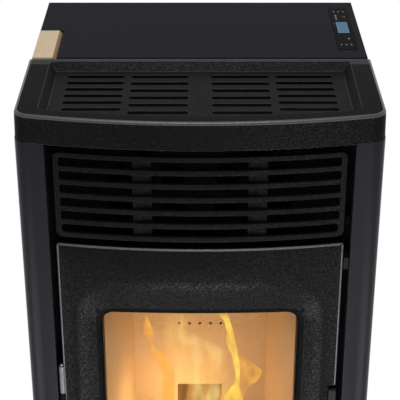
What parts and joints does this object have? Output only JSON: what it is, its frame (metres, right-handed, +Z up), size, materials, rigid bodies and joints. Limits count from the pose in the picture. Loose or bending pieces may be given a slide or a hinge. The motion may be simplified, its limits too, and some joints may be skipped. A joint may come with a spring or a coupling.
{
  "type": "pellet stove",
  "caption": "Free-standing pellet stove: bowed cast-iron top, grille and glazed door, painted steel sides, rear hopper lid with control strip, ash drawer below.",
  "frame": {"origin": "on the floor, under the middle of the stove's outer box", "axes": "+Z up, -Y out of the bowed front with the door, +X to the right of someone facing the door"},
  "size_m": [0.507, 0.54, 1.001],
  "materials": {
    "cast_iron": "black sand-cast texture",
    "casing_paint": "satin anthracite powder coat",
    "black_paint": "matt black heat paint",
    "carcass_steel": "dark hot-rolled steel",
    "zinc_steel": "galvanised sheet",
    "vermiculite": "pressed vermiculite",
    "ceramic_glass": "clear ceramic glass",
    "rope": "woven glass rope",
    "wood": "pale ash, oiled",
    "black_plastic": "gloss black",
    "display_glass": "blue backlit display",
    "rubber": "matt",
    "circuit_board": "green solder mask",
    "switch_plastic": "matt black"
  },
  "bodies": {
    "root": {"base_plate": "black_paint", "foot_front_left": "rubber", "foot_front_right": "rubber", "foot_rear_left": "rubber", "foot_rear_right": "rubber", "side_panel_left": "casing_paint", "side_panel_right": "casing_paint", "back_panel": "black_paint", "front_frame": "black_paint", "top_casting": "cast_iron", "front_grille": "cast_iron", "door_stop": "casing_paint", "combustion_chamber": "carcass_steel", "chamber_stand_left": "zinc_steel", "chamber_stand_right": "zinc_steel", "heat_exchanger": "carcass_steel", "firebox_floor": "cast_iron", "fire_board_left": "vermiculite", "fire_board_right": "vermiculite", "fire_board_back": "vermiculite", "baffle_board": "vermiculite", "igniter": "zinc_steel", "hopper": "zinc_steel", "hopper_deck": "black_paint", "hopper_guard": "zinc_steel", "auger_tube": "zinc_steel", "auger_gearmotor": "zinc_steel", "pellet_chute": "zinc_steel", "smoke_duct": "zinc_steel", "exhaust_housing": "zinc_steel", "exhaust_motor": "carcass_steel", "flue_spigot": "black_paint", "air_inlet_pipe": "zinc_steel", "blower_housing": "zinc_steel", "blower_motor": "carcass_steel", "control_board": "circuit_board", "power_inlet": "black_plastic", "lid_gasket": "rubber", "lid_hinge_left": "black_paint", "lid_hinge_right": "black_paint", "hinge_bracket_upper": "zinc_steel", "hinge_bracket_lower": "zinc_steel"},
    "door": {"door_casting": "cast_iron", "door_glass": "ceramic_glass", "glass_gasket": "rope", "glass_retainer": "zinc_steel", "door_rope_seal": "rope", "handle_pin": "zinc_steel"},
    "handle": {"door_handle": "casing_paint"},
    "lid": {"lid": "casing_paint", "wood_grip": "wood", "control_panel": "black_plastic", "display_window": "display_glass"},
    "ash_drawer": {"ash_tray": "zinc_steel", "ash_drawer_front": "cast_iron"},
    "burn_pot": {"burn_pot": "cast_iron"},
    "auger": {"auger_screw": "carcass_steel"},
    "exhaust_fan": {"exhaust_impeller": "zinc_steel"},
    "room_fan": {"blower_rotor": "zinc_steel"},
    "power_switch": {"power_rocker": "switch_plastic"}
  },
  "joints": [
    {"name": "door_hinge", "type": "hinge", "parent": "root", "child": "door", "pos_m": [-0.2045, -0.238, 0.51], "axis": [0, 0, -1], "range_deg": [0, 110]},
    {"name": "handle_pivot", "type": "hinge", "parent": "door", "child": "handle", "pos_m": [0.196, -0.231, 0.415], "axis": [1, 0, 0], "range_deg": [0, 28]},
    {"name": "lid_hinge", "type": "hinge", "parent": "root", "child": "lid", "pos_m": [0, 0.216, 0.992], "axis": [-1, 0, 0], "range_deg": [0, 80]},
    {"name": "ash_drawer_slide", "type": "slide", "parent": "root", "child": "ash_drawer", "axis": [0, -1, 0], "range_m": [0, 0.18]},
    {"name": "burn_pot_lift", "type": "slide", "parent": "root", "child": "burn_pot", "axis": [0, 0, 1], "range_m": [0, 0.06]},
    {"name": "auger_spin", "type": "hinge", "parent": "root", "child": "auger", "pos_m": [0, 0.124, 0.34], "axis": [0, -0.342, 0.9397], "continuous": true},
    {"name": "exhaust_fan_spin", "type": "hinge", "parent": "root", "child": "exhaust_fan", "pos_m": [-0.1275, 0.11, 0.185], "axis": [1, 0, 0], "continuous": true},
    {"name": "room_fan_spin", "type": "hinge", "parent": "root", "child": "room_fan", "pos_m": [0.11, 0.12, 0.115], "axis": [1, 0, 0], "continuous": true},
    {"name": "power_switch_rock", "type": "hinge", "parent": "root", "child": "power_switch", "pos_m": [0.184, 0.2045, 0.342], "axis": [1, 0, 0], "range_deg": [-9, 9]}
  ]
}
